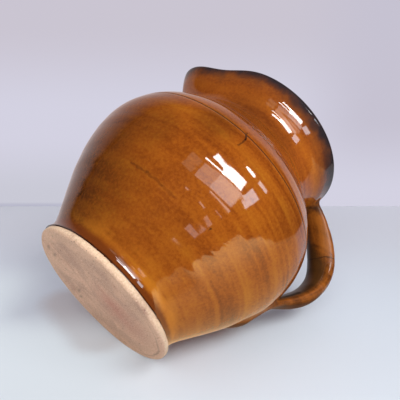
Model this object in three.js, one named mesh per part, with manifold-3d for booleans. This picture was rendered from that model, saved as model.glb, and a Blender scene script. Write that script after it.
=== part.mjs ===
// A glazed earthenware jug: base slab, thrown belly, neck with a pulled spout, and a strap handle.
// Millimetres, +Z up the jug's axis, origin at the centre of the underside, handle at +X, spout at -X.
import * as THREE from "three";
import { mergeVertices } from "three/addons/utils/BufferGeometryUtils.js";
import Module from "manifold-3d";

// Foot and base slab
const FOOT_RADIUS = 52.9;
const FOOT_HEIGHT = 4.4;
const FOOT_BOTTOM_CHAMFER = 2.1;
const FOOT_TOP_CHAMFER = 1.5;
const FLOOR_THICKNESS = 7.5;

// Outer profile of the wall: radius and height at each turn, and the pull of each curve there
const WALL_THICKNESS = 5;
const WAIST_RADIUS = 50.2;
const WAIST_HEIGHT = 8.9;
const WAIST_LEAN_DEG = 12;
const WAIST_PULL = 11;
const BELLY_RADIUS = 83.2;
const BELLY_HEIGHT = 86.8;
const BELLY_PULL_DOWN = 33.3;
const BELLY_PULL_UP = 29.5;
const NECK_RADIUS = 54.7;
const NECK_BELOW_RIM = 26;
const NECK_PULL_DOWN = 11;
const NECK_PULL_UP = 8;
const RIM_RADIUS = 61.5;
const RIM_HEIGHT = 170;
const RIM_LEAN_DEG = 27;
const RIM_PULL = 8;

// Shoulder: the seam where the neck is luted on, and the turned groove below it
const SEAM_HEIGHT = 115;
const LAP_HEIGHT = 4;
const GROOVE_HEIGHT = 101.8;
const GROOVE_WIDTH = 1.6;
const GROOVE_DEPTH = 0.7;

// Spout, pulled out of the rim opposite the handle and pinched in on both sides
const SPOUT_ROOT_BELOW_RIM = 36;
const SPOUT_REACH = 16.8;
const SPOUT_DROP = 6.7;
const SPOUT_SPREAD_DEG = 30.6;
const PINCH_DEPTH = 3.8;
const PINCH_DROP = 4.5;
const PINCH_AT_DEG = 26.3;
const PINCH_SPREAD_DEG = 17.3;

// Strap handle
const HANDLE_WIDTH = 27;
const HANDLE_THICKNESS = 9.4;
const HANDLE_ROOT_BELOW_RIM = 10;
const HANDLE_ROOT_FALL_DEG = 12.8;
const HANDLE_ROOT_PULL = 21;
const HANDLE_REACH = 18.5;
const HANDLE_OUTER_HEIGHT = 119.7;
const HANDLE_OUTER_PULL_UP = 17.8;
const HANDLE_OUTER_PULL_DOWN = 20.7;
const HANDLE_TAIL_HEIGHT = 57.8;
const HANDLE_TAIL_SINK = 1;
const HANDLE_TAIL_PULL = 29;

// Coils worked in round the strap's two roots
const COIL_MARGIN = 4.5;
const UPPER_COIL_STAND_OFF = 5;
const LOWER_COIL_STAND_OFF = 2.6;
const LOWER_COIL_LENGTH = 48;

// Clearance left in each luted seam
const SEAM_GAP = 0.3;

// Fineness of the facets, and how near two corners are taken as one
const WELD_DISTANCE = 0.001;
const RING_SEGMENTS = 56;
const CURVE_STEPS = 8;
const ROLL_STEPS = 6;
const HANDLE_STEPS = 24;
const SECTION_STEPS = 9;
const COIL_SEGMENTS = 18;

const radians = THREE.MathUtils.degToRad;
const wasm = await Module();
wasm.setup();

// The solid inside a closed geometry.
function solidFrom(geometry) {
  const bare = geometry.clone();
  bare.deleteAttribute("normal");
  bare.deleteAttribute("uv");
  const merged = mergeVertices(bare, WELD_DISTANCE);
  const triVerts = new Uint32Array(merged.index.array);
  const vertProperties = merged.attributes.position.array;
  return new wasm.Manifold(new wasm.Mesh({ numProp: 3, vertProperties, triVerts }));
}

// The geometry of a solid, with flat facets.
function geometryFrom(solid) {
  const mesh = solid.getMesh();
  const geometry = new THREE.BufferGeometry();
  geometry.setAttribute("position", new THREE.BufferAttribute(mesh.vertProperties, 3));
  geometry.setIndex(new THREE.BufferAttribute(mesh.triVerts, 1));
  const faceted = geometry.toNonIndexed();
  faceted.computeVertexNormals();
  return faceted;
}

// A closed outline of (radius, height) points turned about the jug's axis.
function turned(outline) {
  return new THREE.LatheGeometry(outline, RING_SEGMENTS).rotateX(Math.PI / 2);
}

const point = (radius, height) => new THREE.Vector2(radius, height);

// Outer profile of the wall, from the top of the foot to the rim
const waist = point(WAIST_RADIUS, WAIST_HEIGHT);
const belly = point(BELLY_RADIUS, BELLY_HEIGHT);
const neck = point(NECK_RADIUS, RIM_HEIGHT - NECK_BELOW_RIM);
const waistLean = radians(WAIST_LEAN_DEG);
const rimLean = radians(RIM_LEAN_DEG);
const rollRadius = WALL_THICKNESS / 2;
const rimCentre = point(RIM_RADIUS - rollRadius, RIM_HEIGHT - rollRadius);
const rim = point(
  rimCentre.x + rollRadius * Math.cos(rimLean),
  rimCentre.y - rollRadius * Math.sin(rimLean),
);
const lowerWall = new THREE.CubicBezierCurve(
  waist,
  point(waist.x + WAIST_PULL * Math.sin(waistLean), waist.y + WAIST_PULL * Math.cos(waistLean)),
  point(belly.x, belly.y - BELLY_PULL_DOWN),
  belly,
);
const shoulder = new THREE.CubicBezierCurve(
  belly,
  point(belly.x, belly.y + BELLY_PULL_UP),
  point(neck.x, neck.y - NECK_PULL_DOWN),
  neck,
);
const flare = new THREE.CubicBezierCurve(
  neck,
  point(neck.x, neck.y + NECK_PULL_UP),
  point(rim.x - RIM_PULL * Math.sin(rimLean), rim.y - RIM_PULL * Math.cos(rimLean)),
  rim,
);
const wallFoot = point(FOOT_RADIUS - FOOT_TOP_CHAMFER, FOOT_HEIGHT);
const outerLine = [
  wallFoot,
  ...lowerWall.getPoints(CURVE_STEPS),
  ...shoulder.getPoints(CURVE_STEPS).slice(1),
  ...flare.getPoints(CURVE_STEPS).slice(1),
];

// A line of points moved sideways, to the outside where the distance is positive.
function offsetLine(line, distance) {
  return line.map((here, i) => {
    const before = line[Math.max(i - 1, 0)];
    const after = line[Math.min(i + 1, line.length - 1)];
    const along = after.clone().sub(before).normalize();
    return point(here.x + distance * along.y, here.y - distance * along.x);
  });
}
const innerLine = offsetLine(outerLine, -WALL_THICKNESS);
const middleLine = offsetLine(outerLine, -WALL_THICKNESS / 2);

// The radius of a line at a height.
function radiusAt(line, height) {
  const above = line.findIndex((p) => p.y >= height);
  const next = above < 0 ? line.length - 1 : Math.max(above, 1);
  const low = line[next - 1];
  const high = line[next];
  return low.x + ((high.x - low.x) * (height - low.y)) / (high.y - low.y);
}

// How far a line leans out from upright at a height, measured over a short stretch.
function leanAt(line, height) {
  const [low, high] = [height - WALL_THICKNESS, height + WALL_THICKNESS];
  return Math.atan2(radiusAt(line, high) - radiusAt(line, low), high - low);
}

// The stretch of a line between two heights, upwards.
function stretch(line, from, to) {
  const between = line.filter((p) => p.y > from + SEAM_GAP && p.y < to - SEAM_GAP);
  return [point(radiusAt(line, from), from), ...between, point(radiusAt(line, to), to)];
}

const down = (points) => points.slice().reverse();
const closed = (outline) => [...outline, outline[0]];

// Base slab: a disc with an eased edge, and a raised floor that centres the wall
const wallSeat = FOOT_HEIGHT + SEAM_GAP;
const spigotRadius = radiusAt(innerLine, FLOOR_THICKNESS) - SEAM_GAP;
const baseOutline = [
  point(0, 0),
  point(FOOT_RADIUS - FOOT_BOTTOM_CHAMFER, 0),
  point(FOOT_RADIUS, FOOT_BOTTOM_CHAMFER),
  point(FOOT_RADIUS, FOOT_HEIGHT - FOOT_TOP_CHAMFER),
  point(FOOT_RADIUS - FOOT_TOP_CHAMFER, FOOT_HEIGHT),
  point(spigotRadius, FOOT_HEIGHT),
  point(spigotRadius, FLOOR_THICKNESS),
  point(0, FLOOR_THICKNESS),
];

// Belly wall: from the slab to the shoulder seam, where its inner half stands up as a tongue
const lapTop = SEAM_HEIGHT + LAP_HEIGHT;
const tongueLine = offsetLine(middleLine, -SEAM_GAP / 2);
const skirtLine = offsetLine(middleLine, SEAM_GAP / 2);
const grooveLow = GROOVE_HEIGHT - GROOVE_WIDTH / 2;
const grooveHigh = GROOVE_HEIGHT + GROOVE_WIDTH / 2;
const grooveLine = offsetLine(outerLine, -GROOVE_DEPTH);
const bellyOutline = closed([
  ...stretch(outerLine, wallSeat, grooveLow),
  point(radiusAt(grooveLine, GROOVE_HEIGHT), GROOVE_HEIGHT),
  ...stretch(outerLine, grooveHigh, SEAM_HEIGHT),
  ...stretch(tongueLine, SEAM_HEIGHT, lapTop),
  ...down(stretch(innerLine, FLOOR_THICKNESS, lapTop)),
  point(spigotRadius + SEAM_GAP, wallSeat),
]);

// Neck collar: its skirt laps over the belly's tongue, and its rim is a round roll
const rimRoll = new THREE.EllipseCurve(
  rimCentre.x,
  rimCentre.y,
  rollRadius,
  rollRadius,
  -rimLean,
  Math.PI - rimLean,
);
const skirtFoot = SEAM_HEIGHT + SEAM_GAP;
const skirtTop = lapTop + SEAM_GAP;
const innerRim = innerLine[innerLine.length - 1];
const rolledEdge = rimRoll.getPoints(ROLL_STEPS).slice(1, -1);
const neckOutline = closed([
  ...stretch(outerLine, skirtFoot, rim.y),
  ...rolledEdge,
  ...down(stretch(innerLine, skirtTop, innerRim.y)),
  ...down(stretch(skirtLine, skirtFoot, skirtTop)),
]);

// Pulls the spout: near -X the top of the neck goes out and down, and its flanks are pinched in.
function pullSpout(geometry) {
  const spots = geometry.attributes.position;
  const bell = (angle, spread) => Math.exp(-((angle / spread) ** 2));
  for (let i = 0; i < spots.count; i++) {
    const [x, y, z] = [spots.getX(i), spots.getY(i), spots.getZ(i)];
    const fromSpout = THREE.MathUtils.radToDeg(Math.atan2(Math.abs(y), -x));
    const share = THREE.MathUtils.smoothstep(z, RIM_HEIGHT - SPOUT_ROOT_BELOW_RIM, RIM_HEIGHT);
    const lip = share * bell(fromSpout, SPOUT_SPREAD_DEG);
    const pinch = share * bell(fromSpout - PINCH_AT_DEG, PINCH_SPREAD_DEG);
    const radius = Math.hypot(x, y);
    const grown = (radius + SPOUT_REACH * lip - PINCH_DEPTH * pinch) / radius;
    spots.setXYZ(i, x * grown, y * grown, z - SPOUT_DROP * lip - PINCH_DROP * pinch);
  }
  return geometry;
}

// Strap handle: an oval section along two curves, out from the neck and back down to the belly
const onPlane = (x, z) => new THREE.Vector3(x, 0, z);
const rootFall = radians(HANDLE_ROOT_FALL_DEG);
const tailLean = leanAt(outerLine, HANDLE_TAIL_HEIGHT);
const rootHeight = RIM_HEIGHT - HANDLE_ROOT_BELOW_RIM;
const handleRoot = onPlane(radiusAt(outerLine, rootHeight), rootHeight);
const handleOuter = onPlane(BELLY_RADIUS + HANDLE_REACH, HANDLE_OUTER_HEIGHT);
const handleTail = onPlane(
  radiusAt(outerLine, HANDLE_TAIL_HEIGHT) - HANDLE_TAIL_SINK,
  HANDLE_TAIL_HEIGHT,
);
const rootWay = onPlane(Math.cos(rootFall), -Math.sin(rootFall));
const tailWay = onPlane(-Math.sin(tailLean), -Math.cos(tailLean));
const rootSunk = handleRoot.clone().addScaledVector(rootWay, -WALL_THICKNESS / 2);
const handlePath = new THREE.CurvePath();
handlePath.add(
  new THREE.CubicBezierCurve3(
    rootSunk,
    handleRoot.clone().addScaledVector(rootWay, HANDLE_ROOT_PULL),
    onPlane(handleOuter.x, handleOuter.z + HANDLE_OUTER_PULL_UP),
    handleOuter,
  ),
);
handlePath.add(
  new THREE.CubicBezierCurve3(
    handleOuter,
    onPlane(handleOuter.x, handleOuter.z - HANDLE_OUTER_PULL_DOWN),
    handleTail.clone().addScaledVector(tailWay, -HANDLE_TAIL_PULL),
    handleTail,
  ),
);

// The strap's sweep, made fuller all round by a margin.
function strap(margin) {
  const section = new THREE.Shape();
  section.absellipse(
    0,
    0,
    HANDLE_WIDTH / 2 + margin,
    HANDLE_THICKNESS / 2 + margin,
    0,
    2 * Math.PI,
  );
  return new THREE.ExtrudeGeometry(section, {
    steps: HANDLE_STEPS,
    curveSegments: SECTION_STEPS,
    extrudePath: handlePath,
  });
}

// A wad of clay about a middle on the wall, with its half sizes out from the wall, across and along.
function wad(middle, lean, out, across, along) {
  const shape = new THREE.SphereGeometry(1, COIL_SEGMENTS, COIL_SEGMENTS / 2);
  shape.rotateX(Math.PI / 2).scale(out, across, along).rotateY(lean);
  return shape.translate(middle.x, middle.y, middle.z);
}

const outside = offsetLine([...outerLine, ...rolledEdge], SEAM_GAP);
const wallSkin = solidFrom(turned([point(0, 0), ...outside, point(0, innerRim.y)]));
const strapSkin = solidFrom(strap(SEAM_GAP));
const handleSolid = solidFrom(strap(0)).subtract(wallSkin);

const tailMiddle = HANDLE_TAIL_HEIGHT + LOWER_COIL_LENGTH / 2 - COIL_MARGIN - HANDLE_THICKNESS / 2;
const lowerPlace = onPlane(radiusAt(outerLine, tailMiddle), tailMiddle);
const coilAcross = HANDLE_WIDTH / 2 + COIL_MARGIN;
const upperCoil = solidFrom(
  wad(handleRoot, rootFall, UPPER_COIL_STAND_OFF, coilAcross, HANDLE_THICKNESS / 2 + COIL_MARGIN),
);
const lowerCoil = solidFrom(
  wad(lowerPlace, leanAt(outerLine, tailMiddle), LOWER_COIL_STAND_OFF, coilAcross, LOWER_COIL_LENGTH / 2),
);

const amberGlaze = { color: 0x9a5a16, roughness: 0.15, metalness: 0 };
const darkGlaze = { color: 0x7a420f, roughness: 0.15, metalness: 0 };
const bareClay = { color: 0xc9ac93, roughness: 0.9, metalness: 0 };

const jug = new THREE.Group();
function place(name, geometry, finish) {
  const mesh = new THREE.Mesh(geometry, new THREE.MeshStandardMaterial(finish));
  mesh.name = name;
  jug.add(mesh);
}
place("base_disc", turned(baseOutline), bareClay);
place("belly_wall", turned(bellyOutline), amberGlaze);
place("neck_collar", pullSpout(turned(neckOutline)), darkGlaze);
place("handle_strap", geometryFrom(handleSolid), amberGlaze);
place("upper_joint_coil", geometryFrom(upperCoil.subtract(wallSkin).subtract(strapSkin)), darkGlaze);
place("lower_joint_coil", geometryFrom(lowerCoil.subtract(wallSkin).subtract(strapSkin)), amberGlaze);

export default jug;
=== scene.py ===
import math

import bpy
from mathutils import Matrix, Vector
from mathutils.geometry import interpolate_bezier


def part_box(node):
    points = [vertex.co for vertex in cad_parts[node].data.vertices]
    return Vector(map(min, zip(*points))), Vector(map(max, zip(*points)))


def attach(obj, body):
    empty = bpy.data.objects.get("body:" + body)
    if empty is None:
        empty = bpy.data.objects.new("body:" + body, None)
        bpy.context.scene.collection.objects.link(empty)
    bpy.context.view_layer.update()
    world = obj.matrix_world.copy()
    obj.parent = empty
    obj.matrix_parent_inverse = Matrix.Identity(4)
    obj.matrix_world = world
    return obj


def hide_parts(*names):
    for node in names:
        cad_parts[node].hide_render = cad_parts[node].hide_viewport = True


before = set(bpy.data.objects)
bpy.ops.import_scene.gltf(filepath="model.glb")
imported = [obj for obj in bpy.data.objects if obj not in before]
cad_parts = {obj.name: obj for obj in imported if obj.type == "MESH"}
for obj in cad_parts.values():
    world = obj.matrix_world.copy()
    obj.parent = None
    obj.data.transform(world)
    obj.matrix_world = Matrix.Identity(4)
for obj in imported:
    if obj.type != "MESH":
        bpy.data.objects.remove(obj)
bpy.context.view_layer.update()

# Foot slab
# The disc of earthenware that the jug stands on, rolled out, cut round and sponged at its edge.
# The wall is luted on it with slip. Its underside and edge are bare biscuit, its upper face is glazed.
foot_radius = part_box("base_disc")[1].x
floor_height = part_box("base_disc")[1].z
foot_height = 0.0044
floor_radius = 0.0452
foot_lower_round = 0.0021
foot_upper_round = 0.0015
round_steps = 7
wheel_turns = 224
foot_marks = {"Seed": 3.0, "Mark Depth": 0.0008, "Mark Spacing": 0.004, "Wander": 3.0}
foot_flat_depth = 0.0021
foot_flat_spread = math.radians(42)
foot_bulge = 0.0010
foot_bulge_at = math.radians(132)
foot_bulge_spread = math.radians(22)
no_spout = {"Rim Height": 1.0, "Spout Root": 0.1, "Spout Spread": 1.0, "Pinch Spread": 1.0}

clay_deep = (0.45, 0.255, 0.172, 1)
clay_pale = (0.71, 0.430, 0.280, 1)
clay_outer = (0.72, 0.455, 0.29, 1)
clay_smudge = (0.45, 0.205, 0.13, 1)
clay_red = (0.44, 0.120, 0.085, 1)
clay_worn = (0.40, 0.185, 0.12, 1)
clay_sponged = (0.76, 0.555, 0.36, 1)
clay_chip = (0.50, 0.24, 0.14, 1)
clay_stain = (0.14, 0.03, 0.03, 1)
clay_speck = (0.15, 0.075, 0.05, 1)
dust_deep = (0.30, 0.17, 0.11, 1)
dust_pale = (1, 0.80, 0.60, 1)
foot_brown = (0.16, 0.040, 0.008, 1)
red_place = (0.014, -0.008, 0.0)
red_spread = 0.015
worn_place = (0.031, -0.014, 0.0)
worn_spread = 0.021
stain_place = (0.0182, -0.0478, 0.001)
stain_spread = 0.007
crack_place = (0.047, -0.010, 0)
crack_spread = 0.024
crack_radius = 0.0487
crack_half_width = 0.0007
pit_spread = 0.0011
pits = ((-0.0103, 0.0079, 0), (-0.0066, 0.0104, 0), (-0.0426, 0.0022, 0), (-0.0366, 0.0029, 0))


def add_object(name, data):
    """A new object in the scene."""
    added = bpy.data.objects.new(name, data)
    bpy.context.scene.collection.objects.link(added)
    return added


def add_node(tree, kind, inputs=None, **settings):
    """Adds a node and gives its outputs. Inputs go by name or place: a socket is linked, a value is set."""
    node = tree.nodes.new(kind)
    for name, value in settings.items():
        setattr(node, name, value)
    for key, value in (inputs or {}).items():
        if isinstance(value, bpy.types.NodeSocket):
            tree.links.new(value, node.inputs[key])
        else:
            node.inputs[key].default_value = value
    return node.outputs


def tree_of(*values):
    """The node tree of the first socket among some values."""
    return next(value.id_data for value in values if isinstance(value, bpy.types.NodeSocket))


def calculate(operation, *values):
    """The result of a Math node on sockets and numbers."""
    inputs = dict(enumerate(values))
    return add_node(tree_of(*values), "ShaderNodeMath", inputs, operation=operation)[0]


def product(first, *others):
    """Values and masks multiplied together."""
    for other in others:
        first = calculate("MULTIPLY", first, other)
    return first


def strongest(first, *others):
    """The largest of several masks."""
    for other in others:
        first = calculate("MAXIMUM", first, other)
    return first


def centred(value):
    """A grey value moved to lie on both sides of zero."""
    return calculate("SUBTRACT", value, 0.5)


def vector_math(operation, *values):
    """The result of a Vector Math node on sockets and vectors."""
    keys = (0, 3) if operation == "SCALE" else range(len(values))
    inputs = dict(zip(keys, values))
    outputs = add_node(tree_of(*values), "ShaderNodeVectorMath", inputs, operation=operation)
    return outputs["Value" if operation in ("DOT_PRODUCT", "DISTANCE", "LENGTH") else "Vector"]


def split(vector):
    """The three coordinates of a vector, by name."""
    return add_node(tree_of(vector), "ShaderNodeSeparateXYZ", {0: vector})


def map_range(value, low, high, to_low=0.0, to_high=1.0, smooth=True):
    """A value taken from one range to another, held at both ends."""
    kind = "SMOOTHSTEP" if smooth else "LINEAR"
    inputs = {0: value, 1: low, 2: high, 3: to_low, 4: to_high}
    return add_node(tree_of(value), "ShaderNodeMapRange", inputs, interpolation_type=kind)[0]


def bell(value, spread):
    """A soft hump: one at zero, and fading over the spread."""
    ratio = calculate("DIVIDE", value, spread)
    return calculate("EXPONENT", product(calculate("POWER", ratio, 2), -1))


def new_tree(name, objects, counts, sizes):
    """An empty geometry tree with named inputs for these and for its finish, and its group's two ends."""
    tree = bpy.data.node_groups.new(name, "GeometryNodeTree")
    tree.is_modifier = True
    labels = {"Object": objects, "Int": counts, "Float": sizes, "Material": ["Finish"]}
    for kind, group in labels.items():
        for label in group:
            tree.interface.new_socket(label, in_out="INPUT", socket_type="NodeSocket" + kind)
    tree.interface.new_socket("Geometry", in_out="OUTPUT", socket_type="NodeSocketGeometry")
    return tree, add_node(tree, "NodeGroupInput"), tree.nodes.new("NodeGroupOutput").inputs


def finish_tree(geometry, size, end):
    """Smooth shading, real geometry and the finish, which close every tree."""
    tree = tree_of(geometry)
    smooth = add_node(tree, "GeometryNodeSetShadeSmooth", {"Geometry": geometry})[0]
    real = add_node(tree, "GeometryNodeRealizeInstances", {"Geometry": smooth})[0]
    inputs = {"Geometry": real, "Material": size["Finish"]}
    tree.links.new(add_node(tree, "GeometryNodeSetMaterial", inputs)[0], end[0])


def store(geometry, name, value, kind="FLOAT"):
    """Keeps a value with each point under a name."""
    inputs = {"Geometry": geometry, "Name": name, "Value": value}
    settings = {"data_type": kind, "domain": "POINT"}
    return add_node(tree_of(geometry), "GeometryNodeStoreNamedAttribute", inputs, **settings)[0]


def wheel_tree():
    """Turns a template about the jug's axis, with throwing marks, and pulls a spout out of its top."""
    tree, size, end = new_tree("wheel", ["Template"], ["Turns"], [
        "Seed", "Mark Depth", "Mark Spacing", "Wander", "Rim Height", "Spout Root", "Spout Reach",
        "Spout Drop", "Spout Spread", "Pinch Depth", "Pinch Drop", "Pinch At", "Pinch Spread",
    ])
    template = add_node(tree, "GeometryNodeObjectInfo", {"Object": size["Template"]})["Geometry"]
    inputs = {"Geometry": template}
    count = add_node(tree, "GeometryNodeAttributeDomainSize", inputs, component="CURVE")["Point Count"]
    grid = add_node(tree, "GeometryNodeMeshGrid", {
        "Size X": 1.0, "Size Y": 1.0, "Vertices X": count,
        "Vertices Y": calculate("ADD", size["Turns"], 1),
    })["Mesh"]
    position = add_node(tree, "GeometryNodeInputPosition")[0]
    place = split(position)
    last = calculate("SUBTRACT", count, 1)
    index = product(calculate("ADD", place["X"], 0.5), last)
    sample = add_node(tree, "GeometryNodeSampleIndex", {
        "Geometry": template, "Value": position, "Index": calculate("ROUND", index),
    }, data_type="FLOAT_VECTOR")[0]
    outline = split(sample)
    height = outline["Z"]
    angle = product(calculate("SUBTRACT", 0.5, place["Y"]), 2 * math.pi)
    across = calculate("COSINE", angle)
    along = calculate("SINE", angle)

    # Throwing marks: rings that run level and wander a little round the wall
    marks_at = add_node(tree, "ShaderNodeCombineXYZ", {
        "X": product(across, size["Wander"]),
        "Y": product(along, size["Wander"]),
        "Z": calculate("DIVIDE", height, size["Mark Spacing"]),
    })[0]
    marks = add_node(tree, "ShaderNodeTexNoise", {
        "Vector": marks_at, "W": size["Seed"], "Scale": 1.0, "Detail": 0.6, "Roughness": 0.35,
    }, noise_dimensions="4D")[0]
    depth = product(centred(marks), size["Mark Depth"])
    off_axis = map_range(outline["X"], 0.0, floor_radius)
    radius = calculate("MULTIPLY_ADD", depth, off_axis, outline["X"])

    # Spout: near -X the top goes out and down, and its flanks are pinched in
    from_spout = calculate("ABSOLUTE", calculate("SUBTRACT", angle, math.pi))
    from_pinch = calculate("SUBTRACT", from_spout, size["Pinch At"])
    root = calculate("SUBTRACT", size["Rim Height"], size["Spout Root"])
    share = product(map_range(height, root, size["Rim Height"]), off_axis)
    lip = product(share, bell(from_spout, size["Spout Spread"]))
    pinch = product(share, bell(from_pinch, size["Pinch Spread"]))
    pulled = calculate("MULTIPLY_ADD", lip, size["Spout Reach"], radius)
    pulled = calculate("SUBTRACT", pulled, product(pinch, size["Pinch Depth"]))
    top = calculate("SUBTRACT", height, product(lip, size["Spout Drop"]))
    top = calculate("SUBTRACT", top, product(pinch, size["Pinch Drop"]))

    # The height before the spout was pulled stays with each point, for the glaze that follows the rim
    kept = store(grid, "thrown_height", height)
    turned = add_node(tree, "ShaderNodeCombineXYZ", {
        "X": product(pulled, across), "Y": product(pulled, along), "Z": top,
    })[0]
    moved = add_node(tree, "GeometryNodeSetPosition", {"Geometry": kept, "Position": turned})[0]
    joined = add_node(tree, "GeometryNodeMergeByDistance", {"Geometry": moved, "Distance": 1e-6})[0]
    finish_tree(joined, size, end)
    return tree


def make_piece(name, tree, sizes):
    """Runs a geometry tree with its named inputs set, and keeps the result as a plain mesh."""
    piece = add_object(name, bpy.data.meshes.new(name))
    modifier = piece.modifiers.new(tree.name, "NODES")
    modifier.node_group = tree
    for socket in tree.interface.items_tree:
        if socket.in_out == "INPUT" and socket.name in sizes:
            modifier[socket.identifier] = sizes[socket.name]
    graph = bpy.context.evaluated_depsgraph_get()
    made = bpy.data.meshes.new_from_object(
        piece.evaluated_get(graph), preserve_all_data_layers=True, depsgraph=graph
    )
    piece.modifiers.remove(modifier)
    piece.data = made
    return piece


def throw(name, outline, sizes):
    """A piece turned on the wheel from an outline of (radius, height) points. It has no spout by itself."""
    curve = bpy.data.curves.new(name, "CURVE")
    curve.dimensions = "3D"
    spline = curve.splines.new("POLY")
    spline.points.add(len(outline) - 1)
    for point, (radius, height) in zip(spline.points, outline):
        point.co = (radius, 0.0, height, 1.0)
    template = add_object(name + "_template", curve)
    piece = make_piece(name, wheel, {**no_spout, "Template": template, "Turns": wheel_turns, **sizes})
    bpy.data.objects.remove(template)
    return piece


def arc(centre, radius, start_deg, end_deg, steps):
    """Points of a round corner."""
    turns = [math.radians(start_deg + (end_deg - start_deg) * i / steps) for i in range(steps + 1)]
    return [(centre[0] + radius * math.cos(a), centre[1] + radius * math.sin(a)) for a in turns]


def run(start, end, steps):
    """Points on a straight run, without its last one."""
    return [tuple(a + (b - a) * i / steps for a, b in zip(start, end)) for i in range(steps)]


def stretch(vector, scale):
    """Coordinates scaled by a different amount each way."""
    return add_node(tree_of(vector), "ShaderNodeMapping", {"Vector": vector, "Scale": scale})[0]


def noise(vector, scale, detail=2.0, roughness=0.5, distortion=0.0):
    """The grey value of a noise texture. A scale for each of the three ways draws it out in streaks."""
    if isinstance(scale, tuple):
        vector = stretch(vector, scale)
        scale = 1.0
    inputs = {"Vector": vector, "Scale": scale, "Detail": detail}
    inputs.update({"Roughness": roughness, "Distortion": distortion})
    return add_node(tree_of(vector), "ShaderNodeTexNoise", inputs)[0]


def tint(colour, other, *shares):
    """A colour with another laid over it, by the product of the shares."""
    inputs = {0: product(*shares), 6: colour, 7: other}
    return add_node(tree_of(*inputs.values()), "ShaderNodeMix", inputs, data_type="RGBA")[2]


def new_material(name):
    """An empty surface material, its tree, its shader and the object's own coordinates."""
    material = bpy.data.materials.new(name)
    material.use_nodes = True
    tree = material.node_tree
    tree.nodes.clear()
    shader = tree.nodes.new("ShaderNodeBsdfPrincipled")
    output = tree.nodes.new("ShaderNodeOutputMaterial")
    tree.links.new(shader.outputs[0], output.inputs[0])
    return material, tree, shader, add_node(tree, "ShaderNodeTexCoord")["Object"]


def add_bump(shader, height, strength, distance):
    """Unevenness too fine for the mesh, on top of any that the shader has."""
    tree = tree_of(height)
    inputs = {"Strength": strength, "Distance": distance, "Height": height}
    for link in shader.inputs["Normal"].links:
        inputs["Normal"] = link.from_socket
    tree.links.new(add_node(tree, "ShaderNodeBump", inputs)[0], shader.inputs["Normal"])


def near_place(here, place, spread):
    """A mask that is one at a place and fades over the spread."""
    return bell(vector_math("DISTANCE", here, place), spread)


def biscuit():
    """Bare fired clay: pinkish beige with paler edges, red smudges, fine grain, cracks and dark specks.
    The upper face is under brown glaze."""
    material, tree, shader, here = new_material("biscuit_clay")
    place = split(here)
    height = place["Z"]
    flat = add_node(tree, "ShaderNodeCombineXYZ", {"X": place["X"], "Y": place["Y"]})[0]
    from_axis = vector_math("LENGTH", flat)
    cloud = map_range(noise(here, 52, 4, 0.6, 0.7), 0.34, 0.66)
    colour = tint(clay_deep, clay_pale, cloud)
    waver = centred(noise(here, 70, 4, 0.6))
    outer = map_range(calculate("MULTIPLY_ADD", waver, 0.018, from_axis), 0.038, 0.050)
    colour = tint(colour, clay_outer, outer, 0.55)
    smudge = map_range(noise(here, (26, 60, 60), 5, 0.65, 0.9), 0.52, 0.68)
    colour = tint(colour, clay_smudge, smudge, 0.65)
    blotchy = map_range(cloud, 0, 1, 0.45, 1)
    colour = tint(colour, clay_red, near_place(here, red_place, red_spread), blotchy, 0.9)
    colour = tint(colour, clay_worn, near_place(here, worn_place, worn_spread), cloud, 0.7)
    colour = tint(colour, clay_sponged, map_range(height, 0.0003, 0.0022), 0.85)
    chipped = map_range(noise(here, 210, 3, 0.7), 0.60, 0.70)
    colour = tint(colour, clay_chip, chipped, 0.45)
    chips = map_range(chipped, 0, 1, 0.5, 1)
    colour = tint(colour, clay_stain, near_place(here, stain_place, stain_spread), chips, 0.9)
    drawn_out = stretch(here, (1, 0.3, 1))
    specks = [map_range(noise(here, 330, 1), 0.72, 0.75)]
    specks += [near_place(drawn_out, pit, pit_spread) for pit in pits]
    crack = calculate("MULTIPLY_ADD", waver, 0.004, from_axis)
    crack = bell(calculate("SUBTRACT", crack, crack_radius), crack_half_width)
    specks.append(product(crack, near_place(here, crack_place, crack_spread)))
    colour = tint(colour, clay_speck, strongest(*specks), 0.75)
    grain = noise(here, 900, 4, 0.7)
    dust = tint(dust_deep, dust_pale, map_range(grain, 0.3, 0.7))
    colour = tint(colour, dust, 0.27)
    drip = centred(noise(here, 380, 3, 0.6))
    drip = calculate("MULTIPLY_ADD", drip, 0.0045, height)
    over_edge = map_range(drip, foot_height - 0.0002, foot_height + 0.0004)
    inside = map_range(from_axis, floor_radius + 0.0012, floor_radius + 0.0006)
    inside = product(inside, map_range(height, 0.001, 0.002))
    glazed = strongest(over_edge, inside)
    colour = tint(colour, foot_brown, glazed)
    tree.links.new(colour, shader.inputs["Base Color"])
    tree.links.new(map_range(glazed, 0, 1, 0.85, 0.06), shader.inputs["Roughness"])
    add_bump(shader, calculate("MULTIPLY_ADD", chipped, 0.8, grain), 0.5, 0.0005)
    return material


wheel = wheel_tree()
lower_centre = (foot_radius - foot_lower_round, foot_lower_round)
upper_centre = (foot_radius - foot_upper_round, foot_height - foot_upper_round)
foot_outline = [
    *run((0.0, 0.0), (lower_centre[0], 0.0), 24),
    *arc(lower_centre, foot_lower_round, -90, 0, round_steps),
    *arc(upper_centre, foot_upper_round, 0, 90, round_steps),
    *run((upper_centre[0] - 0.001, foot_height), (floor_radius, foot_height), 4),
    *run((floor_radius, foot_height), (floor_radius, floor_height), 3),
    *run((floor_radius, floor_height), (0.0, floor_height), 24),
    (0.0, floor_height),
]

# The wheel's spout, pulled inwards at every height, makes the slab's flat side, and its pinch the bulge
foot_slab = throw("foot_slab", foot_outline, {
    **foot_marks, "Finish": biscuit(), "Rim Height": 0.0,
    "Spout Reach": -foot_flat_depth, "Spout Spread": foot_flat_spread,
    "Pinch Depth": -foot_bulge, "Pinch At": foot_bulge_at, "Pinch Spread": foot_bulge_spread,
})
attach(foot_slab, "root")
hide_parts("base_disc")

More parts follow.
